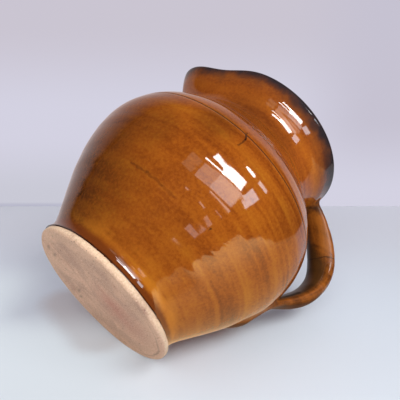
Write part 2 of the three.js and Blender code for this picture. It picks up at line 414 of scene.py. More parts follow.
# Thrown belly
# The wall from the slab to the shoulder, thrown in one piece of earthenware and turned when leather-hard.
# It stands on the slab, and one fine groove is cut round its shoulder. Honey-brown glaze covers it.
belly_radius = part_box("belly_wall")[1].x
seam_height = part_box("neck_collar")[0].z
rim_rise = 0.0008
rim_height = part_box("neck_collar")[1].z + rim_rise
wall_thickness = 0.005
waist = Vector((0.0502, 0.0089))
waist_pull = Vector((0.0023, 0.0108))
waist_top = 0.0135
waist_pull_in = Vector((-0.0015, 0.0034))
waist_pull_out = 0.0038
belly = Vector((belly_radius, 0.0868))
belly_pull_down = Vector((0, -0.0333))
belly_pull_up = Vector((0, 0.0295))
neck = Vector((0.0544, 0.1410))
neck_pull_down = Vector((0, -0.0098))
neck_pull_up = Vector((0, 0.0064))
flare = Vector((0.0573, 0.1531))
flare_way = Vector((0.56, 1.0)).normalized()
flare_pull = 0.0026
collar = Vector((0.0600, 0.1602))
collar_way = Vector((0.13, 1.0)).normalized()
collar_pull = 0.0022
rim_radius = 0.0617
rim_lean = math.radians(17)
rim_pull = 0.0022
groove_height = 0.1018
groove_ring = (groove_height, 0.0005, 0.0004)
seam_ring = (seam_height, 0.0006, 0.0005)
seam_gap = 0.0003
wall_marks = {"Seed": 7.0, "Mark Depth": 0.0006, "Mark Spacing": 0.0078, "Wander": 0.9}

glaze_roughness = 0.05
glaze_ior = 1.52
dark_stop = 0.35
brown_stop = 0.43
amber_stop = 0.505
gold_stop = 0.63
belly_dark = (0.140, 0.029, 0.004, 1)
belly_brown = (0.225, 0.050, 0.005, 1)
belly_amber = (0.310, 0.077, 0.007, 1)
belly_gold = (0.400, 0.127, 0.010, 1)
pool_and_shade_colour = (0.056, 0.017, 0.004, 1)
drag_colour = (0.12, 0.028, 0.005, 1)
thin_gold = (0.54, 0.185, 0.015, 1)
gathered_red = (0.13, 0.030, 0.006, 1)
belly_line_colour = (0.022, 0.009, 0.005, 1)

# Places on the wall are a turn in degrees and a height. A pool adds its spread and amount, and a crack,
# between two places, its half width and amount
# The pools are dark clouds, partly thick glaze and partly painted shade
belly_pools_and_shade = (
    (-166, 0.030, 0.074, 0.95), (-132, 0.062, 0.080, 0.18), (-126, 0.072, 0.018, 0.4),
    (-110, 0.094, 0.020, 0.45), (-142, 0.064, 0.022, 0.4), (-150, 0.092, 0.040, 0.4),
    (-61, 0.090, 0.024, 0.22), (-92, 0.030, 0.032, 0.18),
)
belly_cracks = (
    ((-98.7, 0.1033), (-97.3, 0.0974), 0.0010, 0.85),
    ((-97.3, 0.0974), (-97.6, 0.0908), 0.0009, 0.6),
    ((-80.4, 0.0494), (-80.7, 0.0474), 0.0009, 0.7),
)
drag_line = ((-126, 0.0480), (-117, 0.0476), (-108, 0.0471), (-100, 0.0468))
drag_amounts = (0.6, 0.55, 0.4)
drag_half_width = 0.0011
hair_waver_scale = 260.0
hair_waver_reach = 0.003
swelling_place = (-82.3, 0.0862)
swelling_spread = 0.0018
swelling_rise = 0.00030
swelling_core = 0.0085
swelling_reach = 0.0135

lip_round = wall_thickness / 2
rim_centre = Vector((rim_radius - lip_round, rim_height - lip_round))
rim_edge = rim_centre + lip_round * Vector((math.cos(rim_lean), -math.sin(rim_lean)))
rim_way = Vector((math.sin(rim_lean), math.cos(rim_lean)))


def bend(start, start_pull, end, end_pull, steps):
    """Points of one smooth stretch of the wall."""
    points = interpolate_bezier(start, start + start_pull, end + end_pull, end, steps)
    return [Vector((p.x, p.y)) for p in points]


belly_rise = [p for p in bend(waist, waist_pull, belly, belly_pull_down, 170) if p.y > waist_top]
rise_way = (belly_rise[1] - belly_rise[0]).normalized()
foot_ledge = Vector((upper_centre[0], foot_height))
outer_line = [
    *bend(foot_ledge, waist_pull_in, belly_rise[0], -waist_pull_out * rise_way, 18)[:-1],
    *belly_rise,
    *bend(belly, belly_pull_up, neck, neck_pull_down, 190)[1:],
    *bend(neck, neck_pull_up, flare, -flare_pull * flare_way, 50)[1:],
    *bend(flare, flare_pull * flare_way, collar, -collar_pull * collar_way, 40)[1:],
    *bend(collar, collar_pull * collar_way, rim_edge, -rim_pull * rim_way, 30)[1:],
]


def wall_radius(height):
    """The outer radius of the wall at a height."""
    for low, high in zip(outer_line, outer_line[1:]):
        if height <= high.y:
            return low.x + (high.x - low.x) * (height - low.y) / (high.y - low.y)
    return outer_line[-1].x


def outside_at(turn_deg, height):
    """A place on the outside of the wall."""
    turn = math.radians(turn_deg)
    radius = wall_radius(height)
    return Vector((radius * math.cos(turn), radius * math.sin(turn), height))


def pressed(line, rings):
    """A line with rings pressed in: (height, half width, depth)."""
    return [
        Vector((p.x - sum(d * math.exp(-(((p.y - h) / w) ** 2)) for h, w, d in rings), p.y))
        for p in line
    ]


def inside_of(line, thickness, every):
    """Every few points of a line, moved to the inner side of the wall."""
    moved = []
    for before, here, after in list(zip(line, line[1:], line[2:]))[::every]:
        way = (after - before).normalized()
        moved.append(Vector((here.x - thickness * way.y, here.y + thickness * way.x)))
    return moved


def glaze(name, dark, brown, amber, gold):
    """Honey glaze: broad soft rings, finer ones on the handle's side, cloudy brown blotches and fine grain,
    under a clear wavy gloss."""
    material, tree, shader, here = new_material(name)
    aside = split(here)["X"]
    rings = centred(noise(here, (5, 5, 175), 1.4, 0.5, 0.4))
    tone = calculate("MULTIPLY_ADD", rings, map_range(aside, -0.045, 0.045, 0.20, 0.38), 0.16)
    fine_rings = centred(noise(here, (4, 4, 360), 1, 0.5, 0.3))
    for layer, weight in (
        (fine_rings, map_range(aside, -0.01, 0.045, 0.0, 0.20)),
        (noise(here, (32, 32, 120), 5, 0.65, 0.8), 0.26),
        (noise(here, 24, 4, 0.6, 0.5), 0.14),
        (noise(here, 640, 3, 0.7), 0.28),
    ):
        tone = calculate("MULTIPLY_ADD", layer, weight, tone)
    ramp = tree.nodes.new("ShaderNodeValToRGB")
    tree.links.new(tone, ramp.inputs[0])
    stops = ramp.color_ramp.elements
    stops[0].position = dark_stop
    stops[0].color = dark
    stops[1].position = gold_stop
    stops[1].color = gold
    stops.new(brown_stop).color = brown
    stops.new(amber_stop).color = amber
    shader.inputs["Roughness"].default_value = glaze_roughness
    shader.inputs["IOR"].default_value = glaze_ior
    add_bump(shader, noise(here, (35, 35, 110), 1), 0.35, 0.0004)
    return material, tree, shader, here, ramp.outputs[0]


def ring_line(height, level, half_width):
    """A fine line round the jug at a level."""
    off = calculate("ABSOLUTE", calculate("SUBTRACT", height, level))
    return map_range(off, half_width, half_width / 3)


def hair_mark(here, start, end, half_width):
    """A mark that wavers a little on its way between two places."""
    inputs = {"Vector": here, "Scale": hair_waver_scale}
    waver = add_node(tree_of(here), "ShaderNodeTexNoise", inputs)["Color"]
    waver = vector_math("SCALE", vector_math("SUBTRACT", waver, (0.5, 0.5, 0.5)), hair_waver_reach)
    off = vector_math("SUBTRACT", vector_math("ADD", here, waver), start)
    way = end - start
    share = vector_math("DOT_PRODUCT", off, way / way.length_squared)
    share = map_range(share, 0, 1, smooth=False)
    away = vector_math("DISTANCE", off, vector_math("SCALE", way, share))
    return map_range(away, half_width, half_width / 3)


def pooled_and_shaded(colour, here, clouds_and_shade, ragged):
    """A colour with dark clouds about some places on the wall, partly thick glaze and partly painted shade.
    """
    ragged = map_range(ragged, 0, 1, 0.70, 1)
    for turn, height, spread, amount in clouds_and_shade:
        away = vector_math("DISTANCE", here, outside_at(turn, height))
        near = map_range(away, spread, spread * 0.2)
        colour = tint(colour, pool_and_shade_colour, near, ragged, amount)
    return colour


def belly_glaze():
    """Belly glaze: gold where it thins above the foot, red-brown to black where it gathers at its edges."""
    material, tree, shader, here, colour = glaze(
        "belly_glaze", belly_dark, belly_brown, belly_amber, belly_gold
    )
    height = split(here)["Z"]
    for start, end, amount in zip(drag_line, drag_line[1:], drag_amounts):
        drag = hair_mark(here, outside_at(*start), outside_at(*end), drag_half_width)
        colour = tint(colour, drag_colour, drag, amount)
    level = calculate("MULTIPLY_ADD", centred(noise(here, 30, 3)), 0.008, height)
    thin = product(map_range(level, 0.0085, 0.012), map_range(level, 0.022, 0.012))
    patchy = map_range(noise(here, (45, 45, 160), 3, 0.6), 0.40, 0.60)
    colour = tint(colour, thin_gold, thin, map_range(patchy, 0, 1, 0.25, 1), 0.55)
    ragged = map_range(noise(here, (60, 60, 130), 4, 0.65), 0.35, 0.65)
    speckle = map_range(noise(here, 520, 3, 0.7), 0.28, 0.66)
    ragged = product(map_range(ragged, 0, 1, 0.5, 1), speckle)
    # Dark clouds, partly thick glaze and partly painted shade
    colour = pooled_and_shaded(colour, here, belly_pools_and_shade, ragged)
    colour = tint(colour, gathered_red, map_range(level, 0.0115, 0.0078), 0.85)
    edge_waver = centred(noise(here, 260, 2))
    edge = calculate("MULTIPLY_ADD", edge_waver, 0.0016, height)
    lines = [
        product(map_range(edge, 0.0061, 0.0051), 0.85),
        product(ring_line(height, groove_height, 0.0007), 0.8),
        map_range(height, seam_height - 0.0008, seam_height - 0.0003),
    ]
    for start, end, half_width, amount in belly_cracks:
        crack = hair_mark(here, outside_at(*start), outside_at(*end), half_width)
        lines.append(product(crack, amount))
    colour = tint(colour, belly_line_colour, strongest(*lines))
    tree.links.new(colour, shader.inputs["Base Color"])

    # A short swelling of the wall beside the belly's widest ring
    swelling_at = outside_at(*swelling_place)
    swelling = bell(calculate("SUBTRACT", height, swelling_at.z), swelling_spread)
    beside = map_range(vector_math("DISTANCE", here, swelling_at), swelling_reach, swelling_core)
    add_bump(shader, product(swelling, beside), 1.0, swelling_rise)
    return material


belly_side = [p for p in outer_line if p.y < seam_height - seam_gap]
belly_line = pressed(belly_side, [groove_ring, seam_ring])
belly_inside = [p for p in inside_of(belly_side, wall_thickness, 4) if p.y > foot_height + 2 * seam_gap]
belly_outline = [
    *belly_line,
    *reversed(belly_inside),
    Vector((belly_inside[0].x, foot_height + seam_gap)),
    belly_line[0],
]
thrown_belly = throw("thrown_belly", belly_outline, {**wall_marks, "Finish": belly_glaze()})
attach(thrown_belly, "root")
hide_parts("belly_wall")

# Neck and spout
# The collar of shoulder, flaring neck and rolled rim, thrown apart and luted on the belly at the seam.
# The spout is pulled out of the soft rim with a finger. The glaze runs dark, almost black, over the rim.
spout_sizes = {
    "Rim Height": rim_height, "Spout Root": 0.036, "Spout Reach": 0.0163, "Spout Drop": 0.0062,
    "Spout Spread": math.radians(30.6), "Pinch Depth": 0.0034, "Pinch Drop": 0.0038,
    "Pinch At": math.radians(26.3), "Pinch Spread": math.radians(17.3),
}
neck_mark_depth = 0.3 * wall_marks["Mark Depth"]
shoulder_height = 0.1186
shoulder_ring = (shoulder_height, 0.0005, 0.0004)
neck_dark = (0.13, 0.029, 0.005, 1)
neck_brown = (0.235, 0.052, 0.007, 1)
neck_amber = (0.34, 0.083, 0.010, 1)
neck_gold = (0.45, 0.128, 0.013, 1)
rim_stain = (0.085, 0.03, 0.014, 1)
rim_black = (0.024, 0.018, 0.021, 1)
neck_line_colour = (0.04, 0.012, 0.005, 1)
neck_pools_and_shade = ((-112, 0.128, 0.042, 0.5), (-140, 0.134, 0.050, 0.28), (-83, 0.137, 0.022, 0.3))


def neck_glaze():
    """Neck glaze: a warmer brown with a soft, ragged near-black band that follows the rim,
    its blue-grey cast a painted sheen.
    """
    material, tree, shader, here, colour = glaze(
        "neck_glaze", neck_dark, neck_brown, neck_amber, neck_gold
    )
    height = add_node(tree, "ShaderNodeAttribute", attribute_name="thrown_height")["Fac"]
    aside = split(here)["X"]
    cloud = noise(here, 52, 4, 0.65)
    # Dark clouds, partly thick glaze and partly painted shade
    colour = pooled_and_shaded(colour, here, neck_pools_and_shade, cloud)
    level = calculate("MULTIPLY_ADD", centred(cloud), 0.017, height)
    level = calculate("ADD", level, map_range(aside, -0.045, 0.050, -0.0012, 0.0005))
    colour = tint(colour, rim_stain, map_range(level, 0.1500, 0.1668), 0.8)
    # The rim band's blue-grey cast is a painted sheen on the near-black glaze
    colour = tint(colour, rim_black, map_range(level, 0.1595, 0.1685))
    seam_line = ring_line(height, seam_height, 0.0007)
    shoulder_line = ring_line(height, shoulder_height, 0.0006)
    colour = tint(colour, neck_line_colour, strongest(seam_line, shoulder_line), 0.8)
    tree.links.new(colour, shader.inputs["Base Color"])
    return material


neck_side = [p for p in outer_line if p.y > seam_height]
neck_line = pressed(neck_side, [seam_ring, shoulder_ring])
lip_start = -math.degrees(rim_lean)
neck_outline = [
    *neck_line,
    *arc(rim_centre, lip_round, lip_start, lip_start + 180, 14)[1:-1],
    *reversed(inside_of(neck_side, wall_thickness, 3)),
    neck_line[0],
]
thrown_neck = throw("thrown_neck", neck_outline, {
    **wall_marks, "Mark Depth": neck_mark_depth, **spout_sizes, "Finish": neck_glaze(),
})
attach(thrown_neck, "root")
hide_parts("neck_collar")

# Strap handle
# A strap of clay pulled with wet hands, luted under the rim and pressed down on the belly.
# A soft coil is worked in round each root, so the strap flows out of the wall. It is glazed with the jug.
strap_sizes = {
    "Width": 0.027, "Thickness": 0.0094, "Steps": 150, "Sides": 56,
    "Swell": 0.0020, "Swell At": 0.56, "Swell Spread": 0.15,
    "Thin": 0.0034, "Thin At": 0.735, "Thin Spread": 0.09,
    "Fill": 0.0062, "Fill At": 0.29, "Fill Spread": 0.22,
    "Dent": 0.0009, "Smear": 0.0045, "Hidden": 0.0008,
}
strap_root_height = 0.160
strap_root_fall = math.radians(12.8)
strap_root_sink = 0.0035
strap_root_start = 0.01
strap_root_pull = 0.0245
strap_outer = Vector((belly_radius + 0.0185, 0.1197))
strap_outer_pull_up = Vector((0, 0.0178))
strap_outer_pull_down = Vector((0, -0.0207))
strap_press_height = 0.060
strap_press_above = 0.012
strap_press_sink = 0.0022
strap_press_pull = 0.027
strap_end_height = 0.0460
strap_end_sink = 0.0060
path_smoothness = 48
finger_scale = 70.0
shadow_line_at = 0.305
shadow_line_half_width = 0.006
strap_dark = (0.06, 0.018, 0.004, 1)
strap_brown = (0.125, 0.034, 0.005, 1)
strap_amber = (0.20, 0.056, 0.007, 1)
strap_gold = (0.28, 0.086, 0.010, 1)
drawn_brown = (0.36, 0.11, 0.014, 1)
inner_dark = (0.045, 0.022, 0.007, 1)
outer_dark = (0.050, 0.016, 0.006, 1)
painted_highlight_gold = (0.40, 0.135, 0.018, 1)
edge_dark = (0.02, 0.011, 0.006, 1)
root_dark = (0.03, 0.012, 0.006, 1)
shadow_line_dark = (0.03, 0.014, 0.006, 1)


def strap_tree():
    """Sweeps the strap's oval section along its path, and smears it onto the wall where the two meet."""
    tree, size, end = new_tree("pulled_strap", ["Path", "Wall"], ["Steps", "Sides"], [
        "Width", "Thickness", "Swell", "Swell At", "Swell Spread", "Thin", "Thin At", "Thin Spread",
        "Fill", "Fill At", "Fill Spread", "Dent", "Smear", "Hidden",
    ])
    sideways = (0, 1, 0)
    path = add_node(tree, "GeometryNodeObjectInfo", {"Object": size["Path"]})["Geometry"]
    path = add_node(tree, "GeometryNodeResampleCurve", {"Curve": path, "Count": size["Steps"]})[0]
    inputs = {"Curve": path, "Normal": sideways}
    path = add_node(tree, "GeometryNodeSetCurveNormal", inputs, mode="FREE")[0]
    share = add_node(tree, "GeometryNodeSplineParameter")["Factor"]
    tangent = add_node(tree, "GeometryNodeInputTangent")[0]
    outward = vector_math("CROSS_PRODUCT", tangent, sideways)
    path = store(path, "along", share)
    path = store(path, "outward", outward, "FLOAT_VECTOR")
    inputs = {"Resolution": size["Sides"], "Radius": 0.5}
    section = add_node(tree, "GeometryNodeCurvePrimitiveCircle", inputs)["Curve"]
    inputs = {"X": size["Width"], "Y": size["Thickness"], "Z": 1.0}
    scale = add_node(tree, "ShaderNodeCombineXYZ", inputs)[0]
    section = add_node(tree, "GeometryNodeTransform", {"Geometry": section, "Scale": scale})[0]
    turn = calculate("SINE", product(share, 2 * math.pi))
    section = store(section, "face", turn)
    inputs = {"Curve": path, "Profile Curve": section, "Fill Caps": True}
    strap = add_node(tree, "GeometryNodeCurveToMesh", inputs)[0]

    def kept(name, kind="FLOAT"):
        """A value that was stored with each point."""
        return add_node(tree, "GeometryNodeInputNamedAttribute", {"Name": name}, data_type=kind)[0]

    def hump(form):
        """How much the strap gains or loses by one of its forms, which fades along it."""
        off = calculate("SUBTRACT", kept("along"), size[form + " At"])
        return product(bell(off, size[form + " Spread"]), size[form])

    def shifted(strap, way, amount):
        """The strap with each point moved along a way of its own."""
        offset = vector_math("SCALE", way, amount)
        return add_node(tree, "GeometryNodeSetPosition", {"Geometry": strap, "Offset": offset})[0]

    # The outer face is rounder at the lower bend, where the wet clay sagged, and thin at the press.
    # The inner face is fuller near the upper root
    sag = calculate("SUBTRACT", hump("Swell"), hump("Thin"))
    sag = product(calculate("MAXIMUM", kept("face"), 0.0), sag)
    sag = calculate("MULTIPLY_ADD", calculate("MINIMUM", kept("face"), 0.0), hump("Fill"), sag)
    strap = shifted(strap, kept("outward", "FLOAT_VECTOR"), sag)

    # Fingers leave shallow dents along the strap
    touch = add_node(tree, "ShaderNodeTexNoise", {"Scale": finger_scale, "Detail": 1.0})[0]
    normal = add_node(tree, "GeometryNodeInputNormal")[0]
    strap = shifted(strap, normal, product(centred(touch), size["Dent"]))

    # Near the wall the clay is spread aside, and none of it goes deeper than the joint needs
    wall = add_node(tree, "GeometryNodeObjectInfo", {"Object": size["Wall"]})["Geometry"]
    position = add_node(tree, "GeometryNodeInputPosition")[0]

    def on_wall(place):
        """The place on the wall nearest to a point, and the way out of the wall there."""
        inputs = {"Geometry": wall, "Sample Position": place}
        near = add_node(tree, "GeometryNodeProximity", inputs, target_element="FACES")["Position"]
        inputs = {"Mesh": wall, "Value": normal, "Sample Position": place}
        surface = add_node(tree, "GeometryNodeSampleNearestSurface", inputs, data_type="FLOAT_VECTOR")
        return near, surface["Value"]

    near, out = on_wall(position)
    clear = vector_math("DOT_PRODUCT", vector_math("SUBTRACT", position, near), out)
    closeness = map_range(clear, size["Smear"], 0.0, smooth=False)
    root = calculate("SQRT", calculate("SUBTRACT", 1.0, calculate("POWER", closeness, 2)))
    push = product(calculate("SUBTRACT", 1.0, root), size["Smear"])
    outward_part = vector_math("SCALE", out, vector_math("DOT_PRODUCT", normal, out))
    aside = vector_math("SUBTRACT", normal, outward_part)
    smeared = vector_math("ADD", position, vector_math("SCALE", aside, push))
    depth = calculate("MAXIMUM", clear, product(size["Hidden"], -1))
    near, out = on_wall(smeared)
    settled = vector_math("ADD", near, vector_math("SCALE", out, depth))
    inputs = {0: clear, 1: size["Smear"]}
    close = add_node(tree, "FunctionNodeCompare", inputs, operation="LESS_THAN")[0]
    inputs = {"Geometry": strap, "Selection": close, "Position": settled}
    strap = add_node(tree, "GeometryNodeSetPosition", inputs)[0]
    strap = add_node(tree, "GeometryNodeRemoveAttribute", {"Geometry": strap, "Name": "outward"})[0]
    finish_tree(strap, size, end)
    return tree


def strap_glaze():
    """Strap glaze: brown streaks drawn along the pull, dark pools at its root, inner and outer faces dark
    partly from the glaze and partly from painted shade, painted shade along the lower bend and a painted
    highlight.
    """
    material, tree, shader, here, colour = glaze(
        "strap_glaze", strap_dark, strap_brown, strap_amber, strap_gold
    )
    along = add_node(tree, "ShaderNodeAttribute", attribute_name="along")["Fac"]
    face = add_node(tree, "ShaderNodeAttribute", attribute_name="face")["Fac"]
    inputs = {"X": product(along, 6), "Y": product(face, 5)}
    pull = add_node(tree, "ShaderNodeCombineXYZ", inputs)[0]
    colour = tint(colour, drawn_brown, map_range(noise(pull, 1, 4, 0.6), 0.42, 0.66), 0.45)
    blot = map_range(noise(here, 130, 3), 0.38, 0.6)
    # The inner face is darker, partly pooled glaze and partly painted shade
    waver = centred(noise(here, 90, 4, 0.6))
    across = calculate("MULTIPLY_ADD", waver, 0.010, split(here)["Y"])
    across = map_range(calculate("MULTIPLY_ADD", along, 0.055, across), 0.004, 0.011)
    colour = tint(colour, inner_dark, map_range(face, -0.1, -0.5), across, 0.85)
    # The outer face is darker, partly darker glaze and partly painted shade on the side turned from the
    # light
    outer = map_range(calculate("MULTIPLY_ADD", waver, 0.6, face), 0.28, 0.62)
    colour = tint(colour, outer_dark, outer, 0.75)
    # A painted highlight of gold runs along the strap below its upper root
    highlight_band = bell(calculate("ADD", face, 0.36), 0.24)
    upper = product(highlight_band, map_range(along, 0.05, 0.10), map_range(along, 0.34, 0.24))
    colour = tint(colour, painted_highlight_gold, upper, 0.5)
    lower = map_range(along, 0.46, 0.54)
    # Painted shade along the inner edge of the lower bend, which faces the belly
    edge = bell(calculate("ADD", face, 0.52), 0.22)
    edge = product(edge, lower, map_range(blot, 0, 1, 0.5, 1))
    colour = tint(colour, edge_dark, edge, 0.9)
    colour = tint(colour, root_dark, map_range(along, 0.11, 0.03), blot, 0.9)
    # A painted shadow line runs across the strap's inner face
    shadow_line = ring_line(calculate("MULTIPLY_ADD", waver, 0.05, along), shadow_line_at, shadow_line_half_width)
    colour = tint(colour, shadow_line_dark, shadow_line, 0.7)
    tree.links.new(colour, shader.inputs["Base Color"])

    # The glaze shines at the outer bend, and is dull inside, towards both roots and under the lower bend
    under = strongest(product(map_range(face, 0.1, 0.4), lower), edge)
    dry = map_range(face, -0.10, -0.60)
    gloss = product(map_range(along, 0.31, 0.37), map_range(along, 0.50, 0.44))
    gloss = product(gloss, map_range(dry, 1, 0))
    tree.links.new(map_range(gloss, 0, 1, 0.36, 0.11), shader.inputs["Roughness"])
    mirror = map_range(gloss, 0, 1, 0.14, 0.60)
    mirror = product(mirror, map_range(under, 0, 1, 1, 0.12))
    tree.links.new(mirror, shader.inputs["Specular IOR Level"])
    return material


def draw_path(name, points):
    """A smooth path in the jug's own plane: each point has its place and its two pulls."""
    curve = bpy.data.curves.new(name, "CURVE")
    curve.dimensions = "3D"
    curve.resolution_u = path_smoothness
    spline = curve.splines.new("BEZIER")
    spline.bezier_points.add(len(points) - 1)
    for knot, (place, before, after) in zip(spline.bezier_points, points):
        knot.handle_left_type = knot.handle_right_type = "FREE"
        knot.co = (place.x, 0, place.y)
        knot.handle_left = (place.x + before.x, 0, place.y + before.y)
        knot.handle_right = (place.x + after.x, 0, place.y + after.y)
    return add_object(name, curve)


def under_wall(height, sink):
    """A place in the jug's own plane, sunk under the outside of the wall."""
    return Vector((wall_radius(height) - sink, height))


root_way = Vector((math.cos(strap_root_fall), -math.sin(strap_root_fall)))
strap_root = under_wall(strap_root_height, 0) - strap_root_sink * root_way
strap_press = under_wall(strap_press_height, strap_press_sink)
strap_end = under_wall(strap_end_height, strap_end_sink)
above_press = under_wall(strap_press_height + strap_press_above, strap_press_sink)
press_way = (strap_press - above_press).normalized()
end_pull = (strap_end - strap_press) / 3
strap_path = draw_path("strap_path", [
    (strap_root, -strap_root_start * root_way, strap_root_pull * root_way),
    (strap_outer, strap_outer_pull_up, strap_outer_pull_down),
    (strap_press, -strap_press_pull * press_way, end_pull.length * press_way),
    (strap_end, -end_pull, end_pull),
])
wall_skin = throw("wall_skin", [*belly_line, *neck_line], wall_marks)
pulled_strap = make_piece("pulled_strap", strap_tree(), {
    "Path": strap_path, "Wall": wall_skin, **strap_sizes, "Finish": strap_glaze(),
})
bpy.data.objects.remove(strap_path)
bpy.data.objects.remove(wall_skin)
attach(pulled_strap, "root")
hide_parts("handle_strap", "upper_joint_coil", "lower_joint_coil")

# Camera
# The photograph looks at the foot of a jug that lies on its side. The jug stands upright in its own
# frame, so the camera is turned instead, and the room's level is worked out from the camera's tilt.
eye = Vector((-0.01054, -0.30173, -0.07169))
view_right = Vector((0.67090, -0.37735, 0.63836))
view_back = Vector((-0.02905, -0.87356, -0.48585))
view_up = view_back.cross(view_right)
camera_tilt = math.radians(18.5)


def facing(right, up, back):
    """The turn of a camera or lamp that has these ways to its right, above and behind it."""
    return Matrix((right, up, back)).transposed().to_4x4()


camera_data = bpy.data.cameras.new("camera")
camera_data.sensor_width = 36.0
camera_data.lens = 44.84
camera_data.clip_start = 0.01
camera = add_object("camera", camera_data)
camera.matrix_world = Matrix.Translation(eye) @ facing(view_right, view_up, view_back)
bpy.context.scene.camera = camera

# Stage
# A pale table top with a pale wall behind it, level with the room. Neither is part of the jug.
# Seen from behind they let the view through, so the jug shows from every side.
room_up = math.cos(camera_tilt) * view_up + math.sin(camera_tilt) * view_back
room_ahead = math.sin(camera_tilt) * view_up - math.cos(camera_tilt) * view_back
table_near = -0.30
table_far = 0.568
stage_side = 0.70
wall_top = 0.62
table_roughness = 0.9
table_shine = 0.1
front_ahead = 0.06
front_bend_at = 0.06
front_slant = 0.87
scallop_turn = 52.0
scallop_depth = 0.095
side_start = 0.27
side_bend_at = 0.19
side_slant = 0.35
# A painted shadow on the table runs beside the foot between two places, with its half width
shade_start = (-0.102, 0.342, 0)
shade_end = (-0.070, 0.296, 0)
shade_half_width = 0.030
near_colour = (0.675, 0.745, 0.82, 1)
right_colour = (0.585, 0.645, 0.705, 1)
far_colour = (0.57, 0.588, 0.640, 1)
painted_clay_shadow = (0.48, 0.40, 0.36, 1)
painted_glow_colour = (0.70, 0.75, 0.80, 1)
near_glow = (3.7, 2.65, 1.25, 1)
middle_glow = (0.92, 0.60, 0.31, 1)
far_glow = (0.55, 0.56, 0.62, 1)
room_dusk = (0.03, 0.027, 0.028, 1)
wall_colour = (0.655, 0.642, 0.757, 1)
wall_high = (0.592, 0.557, 0.640, 1)
wall_right = (0.565, 0.540, 0.640, 1)
wall_corner = (0.586, 0.585, 0.668, 1)
wall_foot_shadow = (0.487, 0.487, 0.595, 1)
wall_glow = (0.69, 0.60, 0.61, 1)

table_level = min(
    room_up.dot(vertex.co)
    for piece in (foot_slab, thrown_belly, pulled_strap)
    for vertex in piece.data.vertices
)
below_eye = eye + (table_level - room_up.dot(eye)) * room_up


def in_room(aside, ahead, above):
    """A place in the room, from the spot on the table's level under the camera."""
    return below_eye + aside * view_right + ahead * room_ahead + above * room_up


def along_room(here, way):
    """How far a point of the stage lies along one of the room's ways."""
    return vector_math("DOT_PRODUCT", vector_math("SUBTRACT", here, below_eye), way)


def sheet(name, corners):
    """A flat sheet of the stage from its corners in the room, and its material's tree, shader and place."""
    mesh = bpy.data.meshes.new(name)
    mesh.from_pydata([in_room(*corner) for corner in corners], [], [tuple(range(len(corners)))])
    material, tree, shader, here = new_material(name)
    mesh.materials.append(material)
    add_object(name, mesh)
    return tree, shader, here


def glow(tree, colour, strength=1.0):
    """An even light of its own."""
    return add_node(tree, "ShaderNodeEmission", {"Color": colour, "Strength": strength})[0]


def mix_surfaces(share, first, second):
    """Two surfaces mixed, by a share of the second."""
    return add_node(tree_of(share), "ShaderNodeMixShader", {0: share, 1: first, 2: second})[0]


def show_front(surface):
    """Gives a sheet its surface in front, and nothing behind."""
    tree = tree_of(surface)
    behind = add_node(tree, "ShaderNodeNewGeometry")["Backfacing"]
    clear = add_node(tree, "ShaderNodeBsdfTransparent")[0]
    output = next(node for node in tree.nodes if node.type == "OUTPUT_MATERIAL")
    tree.links.new(mix_surfaces(behind, surface, clear), output.inputs[0])


tree, shader, here = sheet("table_top", [
    (-stage_side, table_near, 0), (stage_side, table_near, 0),
    (stage_side, table_far, 0), (-stage_side, table_far, 0),
])
shader.inputs["Roughness"].default_value = table_roughness
shader.inputs["Specular IOR Level"].default_value = table_shine
ray = add_node(tree, "ShaderNodeLightPath")
ahead = along_room(here, room_ahead)
aside = along_room(here, view_right)
# The table is painted darker towards the right and towards the wall, for the fall of the light
colour = tint(near_colour, right_colour, map_range(aside, 0.04, 0.24))
colour = tint(colour, far_colour, map_range(ahead, 0.30, 0.52))
# A painted shadow, warm as the clay, lies on the table beside the foot
painted_shadow_beside_foot = hair_mark(here, in_room(*shade_start), in_room(*shade_end), shade_half_width)
colour = tint(colour, painted_clay_shadow, painted_shadow_beside_foot, 0.48)
tree.links.new(colour, shader.inputs["Base Color"])

# To glossy rays the table is a painted glow, the jug's painted reflection of a daylit table. Its front is
# scalloped and runs back to the right, its side slants, and a painted shadow of the jug lies across it
mirrored = tint(near_glow, middle_glow, map_range(ahead, 0.05, 0.24))
mirrored = tint(mirrored, far_glow, map_range(ahead, 0.26, 0.38))
to_right = calculate("MAXIMUM", calculate("SUBTRACT", aside, front_bend_at), 0.0)
front = calculate("MULTIPLY_ADD", to_right, front_slant, ahead)
scallop = calculate("ABSOLUTE", calculate("SINE", product(aside, scallop_turn)))
front = calculate("MULTIPLY_ADD", scallop, scallop_depth, front)
past_front = calculate("SUBTRACT", front, front_ahead)
side = calculate("ABSOLUTE", calculate("SUBTRACT", ahead, side_bend_at))
side = calculate("MULTIPLY_ADD", side, side_slant, side_start)
past_side = calculate("SUBTRACT", aside, side)
shaded = product(map_range(aside, 0.085, 0.015), map_range(aside, -0.10, -0.03))
shaded = product(shaded, map_range(ahead, 0.21, 0.13))
lit = product(map_range(past_front, 0.0, 0.03), map_range(past_side, 0.02, -0.02))
lit = product(lit, map_range(shaded, 0, 1, 1.0, 0.25))
mirrored = glow(tree, tint(room_dusk, mirrored, lit))
surface = mix_surfaces(ray["Is Glossy Ray"], shader.outputs[0], mirrored)

# A painted glow, for the camera only, lifts the table in front of and left of the foot to a thin shadow
in_front = product(map_range(ahead, 0.335, 0.290), map_range(aside, -0.015, -0.075))
at_side = product(map_range(ahead, 0.42, 0.36), map_range(aside, -0.12, -0.17))
painted_glow_share = strongest(product(in_front, 0.75), product(at_side, 0.6))
painted_glow_share = product(painted_glow_share, map_range(painted_shadow_beside_foot, 0, 1, 1, 0.5), ray["Is Camera Ray"])
show_front(mix_surfaces(painted_glow_share, surface, glow(tree, painted_glow_colour)))

